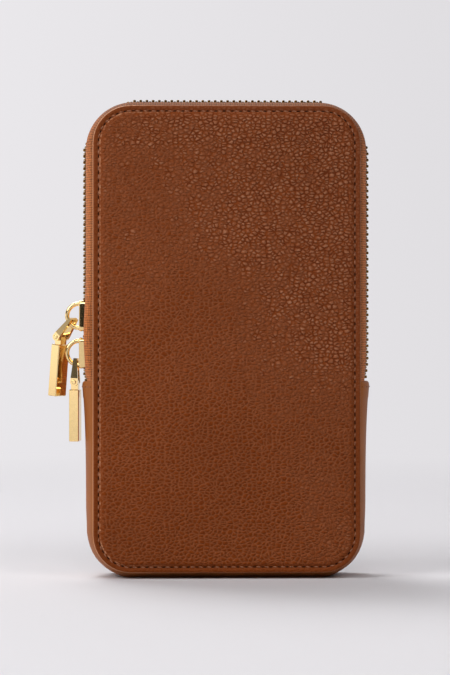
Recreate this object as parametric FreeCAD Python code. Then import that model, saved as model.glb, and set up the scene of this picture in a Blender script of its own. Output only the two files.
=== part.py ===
"""Upright zip-round phone pouch: leather panels, lower gusset, metal zip with two sliders and pulls.

Millimetres. The origin is on the floor under the middle of the pouch. +Z is up, -Y is the front
and the two sliders stand on the -X side.
"""
import math
import os

import FreeCAD
import Part
from FreeCAD import Vector

# panels
panel_width = 102.6
panel_height = 180.0
panel_corner_radius = 14.5
panel_bottom_height = 2.0
pouch_depth = 28.0
leather_thickness = 1.1
turned_edge_width = 7.0
turned_edge_thickness = 0.9
panel_edge_round = 0.8
padding_rise = 1.0
padding_inset = 3.2
padding_edge_round = 0.9
board_thickness = 0.7
lining_thickness = 0.4
lining_inset = 2.2
layer_fit = 0.1

# lower gusset and fold of the front
fold_height = 75.0
gusset_thickness = 1.1
gusset_flange_width = 5.0
gusset_end_bow = 4.4
gusset_waist_bow = 3.0
gusset_sole_bow = 2.7
gusset_waist_share = 0.57
gusset_root_inset = 0.6

# zip tapes and teeth
tape_thickness = 0.5
tape_flange_width = 5.0
tape_lip_width = 3.2
tape_edge_from_middle = 1.4
chain_side_bow = 2.6
chain_top_bow = 0.9
chain_corner_radius = 20.5
tape_corner_steps = 9
tape_run_in_steps = 3
tooth_pitch = 2.4
tooth_thickness = 1.1
tooth_leg_reach = 2.6
tooth_head_reach = 0.7
tooth_leg_height = 2.8
tooth_head_height = 1.8
tooth_slot_fit = 0.08
tooth_slot_depth_fit = 0.06
first_tooth_above_fold = 1.6
rows_part_by = 1.8

# sliders
slider_length = 12.0
slider_spacing = 14.4
lower_slider_clear = 5.4
slider_plate_thickness = 1.3
slider_chamber_fit = 0.2
slider_side_fit = 0.15
slider_rim_width = 0.8
slider_slot_fit = 0.25
slider_corner_round = 1.6
slider_edge_round = 0.6
post_half_width = 0.8
post_nose_setback = 1.0
post_length = 4.0
crown_mean_radius = 4.7
crown_wire_radius = 0.85
crown_sink = 0.05

# pulls
stirrup_strap = 1.0
stirrup_crown_fit = 0.65
stirrup_apex_half_opening = 1.35
stirrup_apex_half_width = 2.4
stirrup_apex_thickness = 1.3
stirrup_eye_half_opening = 2.1
pin_drop = 6.7
pin_radius = 0.85
pin_fit = 0.03
pin_head_rise = 0.3
eye_radius = 1.5
bar_width = 7.0
bar_thickness = 3.8
bar_length = 20.1
bar_chamfer = 0.3
bar_shoulder_drop = 2.9
lug_side_fit = 0.2
lug_thickness = 2.7
upper_crown_place = 41.0
lower_crown_place = 73.0
upper_stirrup_tilt = 41.0
upper_bar_tilt = 5.0
upper_pull_yaw = -34.0
lower_stirrup_tilt = 2.0
lower_bar_tilt = 0.0
lower_pull_yaw = -7.0

# worked-out places
half_width = panel_width / 2
half_depth = pouch_depth / 2
panel_top_height = panel_bottom_height + panel_height
border_thickness = leather_thickness + board_thickness + turned_edge_thickness
seam_half_depth = half_depth - border_thickness
corner_low_height = panel_bottom_height + panel_corner_radius
corner_high_height = panel_top_height - panel_corner_radius
corner_x = half_width - panel_corner_radius
chain_x = half_width + chain_side_bow
chain_top = panel_top_height + chain_top_bow
chain_corner_x = chain_x - chain_corner_radius
chain_corner_height = chain_top - chain_corner_radius
lower_slider_height = fold_height + lower_slider_clear + slider_length / 2
upper_slider_height = lower_slider_height + slider_spacing
chamber_half = tooth_leg_height / 2 + slider_chamber_fit
plate_outer = chamber_half + slider_plate_thickness
across = Vector(0, 1, 0)
origin = Vector(0, 0, 0)


def save(shape, node):
    """Write one node's STEP file."""
    shape.exportStep("parts/" + node + ".step")


def block(low, high):
    """A box between two corners."""
    size = high - low
    return Part.makeBox(size.x, size.y, size.z, low)


def edges_along(shape, direction):
    """The straight edges of a block that run in one direction."""
    near = math.cos(math.pi / 4)
    return [edge for edge in shape.Edges if abs(edge.tangentAt(edge.FirstParameter).dot(direction)) > near]


def plate(inset, depth_from, depth_to):
    """A plate with the panel's rounded outline, inset from it, between two depths on the front side."""
    wide = half_width - inset
    low = Vector(-wide, -depth_from, panel_bottom_height + inset)
    high = Vector(wide, -depth_to, panel_top_height - inset)
    shape = block(low, high)
    return shape.makeFillet(panel_corner_radius - inset, edges_along(shape, across))


def round_front(shape, depth, radius):
    """Round the edges that lie in the plane at this depth on the front side."""
    edges = [edge for edge in shape.Edges if abs(edge.BoundBox.YMin + depth) < layer_fit / 2
             and abs(edge.BoundBox.YMax + depth) < layer_fit / 2]
    return shape.makeFillet(radius, edges)


def panel_leather():
    """Front leather: a padded face, and an edge turned in round the board."""
    border_inner = half_depth - leather_thickness
    board_inner = border_inner - board_thickness
    border = round_front(plate(0, half_depth, seam_half_depth), half_depth, panel_edge_round)
    padded = plate(padding_inset, half_depth + padding_rise, half_depth - panel_edge_round)
    padded = round_front(padded, half_depth + padding_rise, padding_edge_round)
    board_room = plate(leather_thickness, border_inner, board_inner)
    padding_room = plate(padding_inset + leather_thickness, border_inner + padding_rise, border_inner)
    mouth = plate(turned_edge_width, board_inner, seam_half_depth)
    return border.fuse(padded).cut(board_room).cut(padding_room).cut(mouth).removeSplitter()


def panel_padding():
    """Foam between the leather's face and the board."""
    border_inner = half_depth - leather_thickness
    return plate(padding_inset + leather_thickness + layer_fit, border_inner + padding_rise, border_inner)


def panel_board():
    """Stiffening board held in the turned edge."""
    border_inner = half_depth - leather_thickness
    return plate(leather_thickness + layer_fit, border_inner, border_inner - board_thickness)


def panel_lining():
    """Fabric over the seam's flanges on the inside."""
    outer = seam_half_depth - gusset_thickness
    return plate(lining_inset, outer, outer - lining_thickness)


def part_at_fold(shape):
    """The pieces of a shape above and below the fold line."""
    reach = panel_width + pouch_depth
    low = Vector(-reach, -reach, -reach)
    split = Vector(reach, reach, fold_height)
    above = shape.cut(block(low, split))
    below = shape.common(block(low, split))
    return above, below


def rear(shape):
    """The same piece on the rear side."""
    return shape.mirror(origin, across)


def section_point(station, offset, depth):
    """A point of a cross-section: how far outside the panel's outline, and its depth."""
    place, outward = station
    return place + outward * offset + across * depth


def arc(start, middle, end):
    """An arc through three points."""
    return Part.Arc(start, middle, end).toShape()


def gusset_section(station, bow):
    """Cross-section of the gusset: a bowed wall with a flange under each panel."""
    root = -gusset_root_inset
    inner_root = root - gusset_thickness
    flange = root - gusset_flange_width
    outer = seam_half_depth
    inner = seam_half_depth - gusset_thickness

    def at(offset, depth):
        return section_point(station, offset, depth)

    corners = [at(root, outer), at(flange, outer), at(flange, inner), at(inner_root, inner)]
    others = [at(inner_root, -inner), at(flange, -inner), at(flange, -outer), at(root, -outer)]
    edges = [Part.makeLine(a, b) for a, b in zip(corners, corners[1:])]
    edges.append(arc(corners[-1], at(bow - gusset_thickness, 0), others[0]))
    edges += [Part.makeLine(a, b) for a, b in zip(others, others[1:])]
    edges.append(arc(others[-1], at(bow, 0), corners[0]))
    return Part.Wire(edges)


def gusset_lining_section(station, bow):
    """Cross-section of the lining inside the gusset."""
    root = -gusset_root_inset - gusset_thickness - layer_fit
    deep = seam_half_depth - gusset_thickness - lining_thickness - layer_fit
    outer_middle = bow - gusset_thickness - layer_fit
    corners = [section_point(station, root, deep), section_point(station, root - lining_thickness, deep)]
    others = [section_point(station, root - lining_thickness, -deep), section_point(station, root, -deep)]
    inner_middle = section_point(station, outer_middle - lining_thickness, 0)
    edges = [Part.makeLine(corners[0], corners[1]), arc(corners[1], inner_middle, others[0])]
    edges += [Part.makeLine(others[0], others[1])]
    edges += [arc(others[1], section_point(station, outer_middle, 0), corners[0])]
    return Part.Wire(edges)


def side_station(side, height):
    """Place and outward direction on the panel's straight side."""
    return Vector(side * half_width, 0, height), Vector(side, 0, 0)


def band_round_bottom(section):
    """A band up both sides and round the bottom: straight sides, turned corners, straight sole."""
    sides = []
    corners = []
    for side in (-1, 1):
        waist_height = corner_low_height + (fold_height - corner_low_height) * gusset_waist_share
        top = section(side_station(side, fold_height), gusset_end_bow)
        waist = section(side_station(side, waist_height), gusset_waist_bow)
        low = section(side_station(side, corner_low_height), gusset_sole_bow)
        sides.append(Part.makeLoft([top, waist, low], True, True))
        middle = Vector(side * corner_x, 0, corner_low_height)
        turn = math.degrees(math.pi / 2) * side
        corners.append(Part.Face(low).revolve(middle, across, turn))
    sole_start = Vector(-corner_x, 0, panel_bottom_height), Vector(0, 0, -1)
    sole = Part.Face(section(sole_start, gusset_sole_bow)).extrude(Vector(corner_x * 2, 0, 0))
    band = sole.fuse(sides + corners)
    return band.removeSplitter()


def lower_gusset():
    """The gusset, flattened where it stands on the floor."""
    band = band_round_bottom(gusset_section)
    reach = panel_width
    floor = block(Vector(-reach, -reach, -reach), Vector(reach, reach, 0))
    return band.cut(floor)


def rows_parting(side, height):
    """How far each row stands aside for the sliders' posts."""
    if side > 0:
        return 0.0
    lower_tail = lower_slider_height - slider_length / 2
    lower_nose = lower_slider_height + slider_length / 2
    upper_nose = upper_slider_height - slider_length / 2
    upper_tail = upper_slider_height + slider_length / 2
    if height <= lower_tail or height >= upper_tail:
        return 0.0
    if height < lower_nose:
        return rows_part_by * (height - lower_tail) / slider_length
    if height > upper_nose:
        return rows_part_by * (upper_tail - height) / slider_length
    return rows_part_by


def chain_offset(station):
    """How far outside the panel's outline the middle of the chain lies at a station."""
    place, outward = station
    side = 1 if place.x > 0 else -1
    middle = Vector(side * chain_corner_x, 0, chain_corner_height)
    if place.z <= chain_corner_height:
        return chain_side_bow
    if abs(place.x) <= chain_corner_x:
        return chain_top_bow
    back = place - middle
    along = back.dot(outward)
    return math.sqrt(along ** 2 - back.dot(back) + chain_corner_radius ** 2) - along


def tape_stations():
    """Stations of the zip tape from the left end, over the top, to the right end."""
    lower_tail = lower_slider_height - slider_length / 2
    upper_tail = upper_slider_height + slider_length / 2
    parting = [lower_tail, lower_tail + slider_length, upper_tail - slider_length, upper_tail]
    run_in = (corner_high_height - chain_corner_height) / tape_run_in_steps
    heights = [fold_height] + parting
    heights += [chain_corner_height + run_in * step for step in range(tape_run_in_steps)]
    left = [side_station(-1, height) for height in heights]
    for step in range(tape_corner_steps + 1):
        angle = math.pi / 2 * step / tape_corner_steps
        outward = Vector(-math.cos(angle), 0, math.sin(angle))
        left.append((Vector(-corner_x, 0, corner_high_height) + outward * panel_corner_radius, outward))
    run_out = (corner_x - chain_corner_x) / tape_run_in_steps
    for step in range(1, tape_run_in_steps + 1):
        left.append((Vector(-corner_x + run_out * step, 0, panel_top_height), Vector(0, 0, 1)))
    right = [(Vector(-p.x, p.y, p.z), Vector(-n.x, n.y, n.z)) for p, n in reversed(left)]
    return left + right


def tape_section(station):
    """Cross-section of the front tape: flange under the panel, slanting web, lip that carries the teeth."""
    place, outward = station
    offset = chain_offset(station)
    aside = rows_parting(outward.x, place.z)
    edge = tape_edge_from_middle + aside
    lip = edge + tape_lip_width
    root = -gusset_root_inset
    flange = root - tape_flange_width
    outer = seam_half_depth
    inner = seam_half_depth - tape_thickness
    half = tape_thickness / 2
    profile = [(flange, outer), (root, outer), (offset + half, lip), (offset + half, edge),
               (offset - half, edge), (offset - half, lip), (root - tape_thickness, inner), (flange, inner)]
    points = [section_point(station, out, -depth) for out, depth in profile]
    return Part.makePolygon(points + points[:1])


def zip_tape():
    """The front half of the zip's tape."""
    return Part.makeLoft([tape_section(station) for station in tape_stations()], True, True)


def chain_place(run):
    """Point, direction of run and outward direction on the chain's middle line, from its left end."""
    start = fold_height + first_tooth_above_fold
    side_run = chain_corner_height - start
    corner_run = chain_corner_radius * math.pi / 2
    top_run = chain_corner_x * 2
    if run <= side_run:
        return Vector(-chain_x, 0, start + run), Vector(0, 0, 1), Vector(-1, 0, 0)
    run -= side_run
    if run <= corner_run:
        angle = run / chain_corner_radius
        outward = Vector(-math.cos(angle), 0, math.sin(angle))
        place = Vector(-chain_corner_x, 0, chain_corner_height) + outward * chain_corner_radius
        return place, Vector(math.sin(angle), 0, math.cos(angle)), outward
    run -= corner_run
    if run <= top_run:
        return Vector(run - chain_corner_x, 0, chain_top), Vector(1, 0, 0), Vector(0, 0, 1)
    run -= top_run
    if run <= corner_run:
        angle = run / chain_corner_radius
        outward = Vector(math.sin(angle), 0, math.cos(angle))
        place = Vector(chain_corner_x, 0, chain_corner_height) + outward * chain_corner_radius
        return place, Vector(math.cos(angle), 0, -math.sin(angle)), outward
    run -= corner_run
    return Vector(chain_x, 0, chain_corner_height - run), Vector(0, 0, -1), Vector(1, 0, 0)


def chain_length():
    """Length of the chain's middle line."""
    side_run = chain_corner_height - fold_height - first_tooth_above_fold
    return side_run * 2 + chain_corner_radius * math.pi + chain_corner_x * 2


def tooth(run, row):
    """One tooth of a row (-1 front, 1 rear): two legs that clip the tape's edge, and a head."""
    place, along, outward = chain_place(run)
    aside = rows_parting(outward.x, place.z)
    leg = tooth_leg_height / 2
    head = tooth_head_height / 2
    slot = tape_thickness / 2 + tooth_slot_fit
    slot_end = tape_edge_from_middle - tooth_slot_depth_fit
    profile = [(leg, tooth_leg_reach), (head, -tooth_head_reach), (-head, -tooth_head_reach),
               (-leg, tooth_leg_reach), (-slot, tooth_leg_reach), (-slot, slot_end),
               (slot, slot_end), (slot, tooth_leg_reach)]
    start = place - along * (tooth_thickness / 2)
    points = [start + outward * out + across * (row * (reach + aside)) for out, reach in profile]
    return Part.Face(Part.makePolygon(points + points[:1])).extrude(along * tooth_thickness)


def tooth_row(row):
    """A whole row. The rear row stands half a pitch further on, so that the heads mesh."""
    start = tooth_pitch / 2 if row > 0 else 0.0
    count = int((chain_length() - start) / tooth_pitch) + 1
    return Part.makeCompound([tooth(start + tooth_pitch * number, row) for number in range(count)])


def trapezium(tail_half, nose_half, out_from, out_to):
    """A prism on a slider's outline: tail up, wider at the nose."""
    high = slider_length / 2
    corners = [Vector(out_from, -tail_half, high), Vector(out_from, tail_half, high),
               Vector(out_from, nose_half, -high), Vector(out_from, -nose_half, -high)]
    return Part.Face(Part.makePolygon(corners + corners[:1])).extrude(Vector(out_to - out_from, 0, 0))


def slider_body():
    """A slider about the origin, tail up and outside towards +X: two plates, rims, post and crown."""
    tail = tooth_leg_reach + slider_side_fit
    nose = tail + rows_part_by
    wide_tail = tail + slider_rim_width
    wide_nose = nose + slider_rim_width
    slot = tape_thickness / 2 + slider_slot_fit
    whole = trapezium(wide_tail, wide_nose, -plate_outer, plate_outer)
    whole = whole.makeFillet(slider_corner_round, edges_along(whole, Vector(1, 0, 0)))
    face_edges = [edge for edge in whole.Edges if edge.BoundBox.XLength < slider_chamber_fit]
    whole = whole.makeFillet(slider_edge_round, face_edges)
    chamber = trapezium(tail, nose, -chamber_half, chamber_half)
    slits = trapezium(wide_tail * 2, wide_nose * 2, -slot, slot)
    nose_height = post_nose_setback - slider_length / 2
    corners = [Vector(-chamber_half, -post_half_width, nose_height),
               Vector(-chamber_half, post_half_width, nose_height),
               Vector(-chamber_half, 0, nose_height + post_length)]
    post = Part.Face(Part.makePolygon(corners + corners[:1])).extrude(Vector(chamber_half * 2, 0, 0))
    crown_middle = Vector(plate_outer - crown_sink, 0, 0)
    crown = Part.makeTorus(crown_mean_radius, crown_wire_radius, crown_middle, across)
    reach = slider_length
    inside = block(Vector(-reach, -reach, -reach), Vector(plate_outer - crown_sink, reach, reach))
    return whole.cut(chamber).cut(slits).fuse([post, crown.cut(inside)]).removeSplitter()


def slider(height, tail_up):
    """A slider in its place on the left side of the pouch."""
    shape = slider_body()
    half_turn = math.degrees(math.pi)
    shape.rotate(origin, Vector(0, 0, 1), half_turn)
    if not tail_up:
        shape.rotate(origin, Vector(1, 0, 0), half_turn)
    shape.translate(Vector(-chain_x, 0, height))
    return shape


def prism(points, direction):
    """A closed polygon, drawn out."""
    return Part.Face(Part.makePolygon(points + points[:1])).extrude(direction)


def pull_stirrup():
    """A stirrup hanging from the crown's wire at the origin: a tapered frame with an eye on each leg."""
    inner_top = crown_wire_radius + stirrup_crown_fit
    outer_top = inner_top + stirrup_strap
    bottom = -pin_drop - eye_radius
    half = bar_width / 2
    thick = Vector(eye_radius * 2, 0, 0)
    outline = [(stirrup_apex_half_width, outer_top), (half, -pin_drop + eye_radius), (half, bottom)]
    opening = [(stirrup_apex_half_opening, inner_top), (stirrup_eye_half_opening, -pin_drop + eye_radius),
               (stirrup_eye_half_opening, bottom)]
    frames = []
    for half_outline in (outline, opening):
        points = [Vector(-eye_radius, y, z) for y, z in half_outline]
        points += [Vector(-eye_radius, -y, z) for y, z in reversed(half_outline)]
        frames.append(prism(points, thick))
    frame = frames[0].cut(frames[1])
    apex = stirrup_apex_thickness / 2
    wedge = [Vector(apex, -half, outer_top), Vector(eye_radius, -half, -pin_drop),
             Vector(-eye_radius, -half, -pin_drop), Vector(-apex, -half, outer_top)]
    pin_start = Vector(0, -half, -pin_drop)
    side_form = prism(wedge, Vector(0, bar_width, 0))
    side_form = side_form.fuse(Part.makeCylinder(eye_radius, bar_width, pin_start, across))
    hole = Part.makeCylinder(pin_radius + pin_fit, bar_width, pin_start, across)
    return frame.common(side_form).cut(hole).removeSplitter()


def pull_pin():
    """The cross pin through the stirrup's eyes and the bar's lug, with a domed end on each side."""
    half = bar_width / 2 + pin_head_rise
    pin = Part.makeCylinder(pin_radius, half * 2, Vector(0, -half, -pin_drop), across)
    rims = [edge for edge in pin.Edges if edge.BoundBox.YLength < pin_fit]
    return pin.makeFillet(pin_head_rise, rims)


def pull_bar():
    """A chamfered bar with a lug that turns on the pin."""
    top = -pin_drop - bar_shoulder_drop
    half_thick = bar_thickness / 2
    half = bar_width / 2
    body = block(Vector(-half_thick, -half, top - bar_length), Vector(half_thick, half, top))
    body = body.makeChamfer(bar_chamfer, body.Edges)
    lug_half = stirrup_eye_half_opening - lug_side_fit
    lug_thick = lug_thickness / 2
    lug_start = Vector(0, -lug_half, -pin_drop)
    lug = block(Vector(-lug_thick, -lug_half, top - bar_chamfer), Vector(lug_thick, lug_half, -pin_drop))
    lug = lug.fuse(Part.makeCylinder(lug_thick, lug_half * 2, lug_start, across))
    hole = Part.makeCylinder(pin_radius + pin_fit, bar_width, Vector(0, -half, -pin_drop), across)
    return body.fuse(lug).cut(hole).removeSplitter()


def hang_pull(slider_height, crown_place, stirrup_tilt, bar_tilt, yaw):
    """Stirrup, pin and bar of one pull in their place on a slider's crown."""
    angle = math.radians(crown_place)
    out = plate_outer - crown_sink + crown_mean_radius * math.cos(angle)
    hook = Vector(-chain_x - out, 0, slider_height - crown_mean_radius * math.sin(angle))
    pin_place = Vector(0, 0, -pin_drop)
    swung = FreeCAD.Rotation(across, stirrup_tilt).multVec(pin_place)
    stirrup = pull_stirrup()
    pin = pull_pin()
    bar = pull_bar()
    for piece in (stirrup, pin):
        piece.rotate(origin, across, stirrup_tilt)
    bar.rotate(pin_place, across, bar_tilt)
    bar.translate(swung - pin_place)
    for piece in (stirrup, pin, bar):
        piece.rotate(origin, Vector(0, 0, 1), yaw)
        piece.translate(hook)
    return stirrup, pin, bar


def main():
    """Build every piece and write its file."""
    os.makedirs("parts", exist_ok=True)
    layers = {"panel": panel_leather(), "padding": panel_padding()}
    layers["board"] = panel_board()
    layers["lining"] = panel_lining()
    for name, shape in layers.items():
        above, below = part_at_fold(shape)
        save(above, "front_" + name + "_upper")
        save(below, "front_" + name + "_lower")
        save(rear(shape), "back_" + name)
    save(lower_gusset(), "lower_gusset")
    save(band_round_bottom(gusset_lining_section), "gusset_lining")
    tape = zip_tape()
    save(tape, "front_zip_tape")
    save(rear(tape), "rear_zip_tape")
    save(tooth_row(-1), "front_zip_teeth")
    save(tooth_row(1), "rear_zip_teeth")
    save(slider(upper_slider_height, True), "upper_slider")
    save(slider(lower_slider_height, False), "lower_slider")
    upper = hang_pull(upper_slider_height, upper_crown_place, upper_stirrup_tilt, upper_bar_tilt,
                      upper_pull_yaw)
    lower = hang_pull(lower_slider_height, lower_crown_place, lower_stirrup_tilt, lower_bar_tilt,
                      lower_pull_yaw)
    for name, pieces in (("upper", upper), ("lower", lower)):
        for piece, shape in zip(("stirrup", "pin", "bar"), pieces):
            save(shape, name + "_pull_" + piece)


main()
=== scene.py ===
import math
from functools import partial
from itertools import accumulate

import bmesh
import bpy
from bpy.props import FloatProperty, FloatVectorProperty, PointerProperty
from mathutils import Matrix, Vector
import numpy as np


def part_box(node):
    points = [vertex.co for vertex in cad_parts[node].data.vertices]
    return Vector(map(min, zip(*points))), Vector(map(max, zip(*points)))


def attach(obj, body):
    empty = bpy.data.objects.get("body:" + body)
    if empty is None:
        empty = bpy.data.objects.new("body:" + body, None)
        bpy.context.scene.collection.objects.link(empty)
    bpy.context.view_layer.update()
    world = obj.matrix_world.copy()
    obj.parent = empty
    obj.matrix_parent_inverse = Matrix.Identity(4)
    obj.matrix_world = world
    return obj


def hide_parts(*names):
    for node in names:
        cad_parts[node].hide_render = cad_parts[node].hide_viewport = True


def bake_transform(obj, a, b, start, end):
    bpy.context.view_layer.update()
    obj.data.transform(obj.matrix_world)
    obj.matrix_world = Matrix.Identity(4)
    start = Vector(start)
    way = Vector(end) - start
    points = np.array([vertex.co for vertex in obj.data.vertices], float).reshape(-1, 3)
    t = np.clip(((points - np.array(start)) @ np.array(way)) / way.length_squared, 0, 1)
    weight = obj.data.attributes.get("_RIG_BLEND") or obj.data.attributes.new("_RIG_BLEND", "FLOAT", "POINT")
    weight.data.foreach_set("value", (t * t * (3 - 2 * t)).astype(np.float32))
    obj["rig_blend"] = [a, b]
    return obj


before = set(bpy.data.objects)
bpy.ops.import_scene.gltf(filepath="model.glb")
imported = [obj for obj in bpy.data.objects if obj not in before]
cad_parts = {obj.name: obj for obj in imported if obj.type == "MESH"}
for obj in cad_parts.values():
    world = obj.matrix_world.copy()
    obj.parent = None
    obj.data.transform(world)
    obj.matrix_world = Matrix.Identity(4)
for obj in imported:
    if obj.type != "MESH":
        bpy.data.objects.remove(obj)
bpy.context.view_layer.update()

bl_info = {
    "name": "Phone Pouch",
    "version": (1, 0, 0),
    "blender": (4, 5, 0),
    "location": "View3D > Sidebar > Pouch",
    "description": "Leather, stitching, lining, zip and metal finish of an upright phone pouch",
    "category": "Object",
}

MM = 0.001

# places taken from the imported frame, in metres
PANEL_LOW, PANEL_HIGH = (Vector(corner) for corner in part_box("back_panel"))
HALF_WIDTH = PANEL_HIGH.x
PANEL_BOTTOM = PANEL_LOW.z + 0.4 * MM
PANEL_TOP = PANEL_HIGH.z - 0.8 * MM
SEAM_DEPTH = PANEL_LOW.y
FACE_DEPTH = PANEL_HIGH.y
FOLD_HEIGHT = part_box("front_panel_upper")[0][2]
FOLD_START = (0.0, -FACE_DEPTH, FOLD_HEIGHT)
FOLD_END = (0.0, -FACE_DEPTH, FOLD_HEIGHT + 30 * MM)
LINING_INNER, LINING_OUTER = (corner[1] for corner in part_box("back_lining"))
LINING_HALF_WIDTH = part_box("back_lining")[1][0]
LOWER_SLIDER_LOW, LOWER_SLIDER_HIGH = (corner[2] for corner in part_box("lower_slider"))
UPPER_SLIDER_LOW, UPPER_SLIDER_HIGH = (corner[2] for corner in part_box("upper_slider"))
SLIDERS_MIDDLE = (LOWER_SLIDER_HIGH + UPPER_SLIDER_LOW) / 2
GUSSET_TOP = FOLD_HEIGHT + 0.6 * MM

# how finely the leather, bands and sheets are divided
FACE_COLUMNS = 56
STRAIGHT_ROWS = 96
CORNER_ROWS = 9
BAND_ACROSS = 20
GUSSET_SIDE_STEPS = 16
GUSSET_CORNER_STEPS = 10
GUSSET_SOLE_STEPS = 12
TAPE_ACROSS = 16
TAPE_STEP = 1.2 * MM
FLOOR_STEPS = 48
MERGE = 0.001 * MM

# how the bands and the zip run
ROOT = -0.6 * MM            # gusset and tapes start this far inside the panel's outline
GUSSET_FLARE = 3.6          # power of the gusset's flare towards its ends
GUSSET_EASE = 12 * MM       # length over which the side's bow passes into the corner's
CORNER_EASE = 0.4           # angle over which the corner's bow is reached, in radians
SOLE_EASE = 0.6             # angle over which the sole's bow is reached, in radians
HEM_EASE = 1.2 * MM         # slope at the inner edge of the gusset's hem
HEM_STATIONS = [0.0, 0.06, 0.2, 0.42, 0.7, 1.1, 1.7, 2.4, 3.2, 4.4, 5.5, 6.0, 6.5, 7.0]
HEM_MARGIN = 1.6 * MM       # bare leather beside the rows of hem stitches
HEM_THREAD = 0.22           # half length of a hem stitch, as a share of the pitch
SLACK_REACH = 24 * MM       # how far the tape's slack spreads from between the sliders
SLACK_SKEW = 0.65           # below 1 the slack lies nearer the panel than the chain
LEFT_TUCK = 0.4             # the left end's tuck, as a share of the right end's
TAPE_TAIL = 3 * MM          # tape below the fold, under the gusset's end
TAPE_FLANGE = 2.5 * MM      # width of the tape that is sewn under the panel
FLANGE_SHARE = 0.15         # share of the tape's columns on that flange
TAPE_LIP = 4.6 * MM         # from the chain's middle to where the tape starts to roll down
PARTED_EDGE = 1.36          # how much further than the teeth the tape's edge stands aside
WEAVE_WIDTH = 17 * MM       # width of the weave's pattern over one tape
CHAIN_START = 1.0 * MM      # first tooth above the fold
SIDEWAYS = 0.5              # an outward direction beyond this belongs to a side run
DIP_SPREAD = 5              # how soon in a bend the teeth reach their full dip
STITCH_SLANT = math.radians(6.0)
THREAD_SINK = 0.08 * MM     # how deep the middle of a stitch lies in the border
# the needle holes are drawn as dark beads: painted shadow inside them
HOLE_SINK = 0.17 * MM       # how deep the middle of a needle hole lies in the border
HOLE_DEPTH = 0.14 * MM      # half depth of a needle hole
HEM_THREAD_LIFT = 0.05 * MM
HEM_HOLE_SINK = 0.08 * MM
HEM_HOLE_DEPTH = 0.12 * MM
THREAD_HEIGHT = 0.42        # half height of a stitch, as a share of the thread's width
TOOTH_TAPER = 0.64          # height of a tooth's head, as a share of its legs' height
TOOTH_ROUNDING = 0.24 * MM
SHARP_ANGLE = math.radians(30)
FACE_WAVES = ((5.1, 2.3, 0.6), (3.2, -6.7, 1.9))    # turns across, turns up and start of each slow wave
WAVE_PERIOD = 0.314         # period of the wave texture at a scale of 1


def linear(code):
    """An sRGB hex code as linear red, green and blue."""
    parts = [int(code[place:place + 2], 16) / 255 for place in (1, 3, 5)]
    return tuple(part / 12.92 if part <= 0.04045 else ((part + 0.055) / 1.055) ** 2.4 for part in parts)


def length(name, text, millimetres):
    """A length that the user can change."""
    return FloatProperty(name=name, description=text, default=millimetres * MM, unit="LENGTH")


def colour(name, text, code):
    """A colour that the user can change."""
    return FloatVectorProperty(name=name, description=text, default=linear(code), size=3,
                               min=0.0, max=1.0, subtype="COLOR")


class PouchSizes(bpy.types.PropertyGroup):
    """Sizes of the soft pieces and of the trim."""

    corner_radius: length("Corner radius", "Radius of the panel's corners", 14.5)
    field_inset: length("Field inset", "From the panel's edge to the flat of the padded face", 6.0)
    border_drop: length("Border drop", "How far the sewn border lies below the padded face", 1.0)
    face_crown: length("Face crown", "How far the middle of the padded face stands out", 0.3)
    face_wave: length("Face wave", "Height of the slow waves in the padded face", 0.1)
    stitch_inset: length("Stitch inset", "From the panel's edge to the row of stitches", 2.25)
    stitch_pitch: length("Stitch pitch", "From one needle hole to the next", 3.15)
    stitch_gap: length("Stitch gap", "Bare leather at each needle hole", 1.6)
    thread_width: length("Thread width", "Width of the sewing thread", 0.5)
    # the needle holes' length and width are those of the dark beads painted as their shadow
    hole_length: length("Needle hole length", "Length of the needle holes along the seam", 1.35)
    hole_width: length("Needle hole width", "Width of the needle holes", 0.72)
    gusset_end_bow: length("Gusset end bow", "How far the gusset's end stands out from the panel's side", 4.4)
    gusset_side_bow: length("Gusset side bow", "How far the gusset stands out low on the sides", 2.9)
    gusset_corner_bow: length("Gusset corner bow", "How far the gusset stands out round the corners", 2.2)
    gusset_sole_bow: length("Gusset sole bow", "How far the gusset stands out at the bottom", 3.1)
    gusset_end_turn: length("Gusset end turn", "How far the gusset's very end curls in", 0.6)
    gusset_thickness: length("Gusset thickness", "Thickness of the gusset's leather", 1.1)
    hem_depth: length("Hem depth", "Turned edge at the gusset's ends", 6.0)
    hem_rise: length("Hem rise", "How far the turned edge stands proud", 0.14)
    hem_stitch: length("Hem stitch", "From the gusset's end to its row of stitches", 2.2)
    lining_thickness: length("Lining thickness", "Thickness of the lining fabric", 0.4)
    tape_thickness: length("Tape thickness", "Thickness of the zip's tape", 0.5)
    tape_edge: length("Tape edge", "From the chain's middle to each tape's edge, where the rows mesh", 0.75)
    tape_slack: length("Tape slack", "How far the tape bulges beside the two sliders", 1.1)
    chain_side_bow: length("Chain side bow", "How far the chain stands out from the panel's side", 2.6)
    chain_top_bow: length("Chain top bow", "How far the chain stands above the panel", 1.7)
    end_tuck: length("End tuck", "How far the zip's ends lie in under the gusset", 0.7)
    tuck_run: length("Tuck run", "Length over which the zip's right end bends in", 10.0)
    chain_radius: length("Chain radius", "Radius of the chain's path at the corners", 18.2)
    corner_dip: length("Corner dip", "How far the teeth sink between the tapes at the corners", 1.0)
    rows_part: length("Rows part", "How far each row of teeth stands aside between the sliders", 1.8)
    tooth_pitch: length("Tooth pitch", "From one tooth to the next in a row", 2.4)
    tooth_width: length("Tooth width", "Width of a tooth along the chain", 1.1)
    tooth_reach: length("Tooth reach", "From the chain's middle to the end of a tooth's legs", 2.6)
    tooth_head: length("Tooth head", "How far a tooth's head passes the chain's middle", 0.7)
    tooth_height: length("Tooth height", "Height of a tooth's legs", 2.8)


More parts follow.
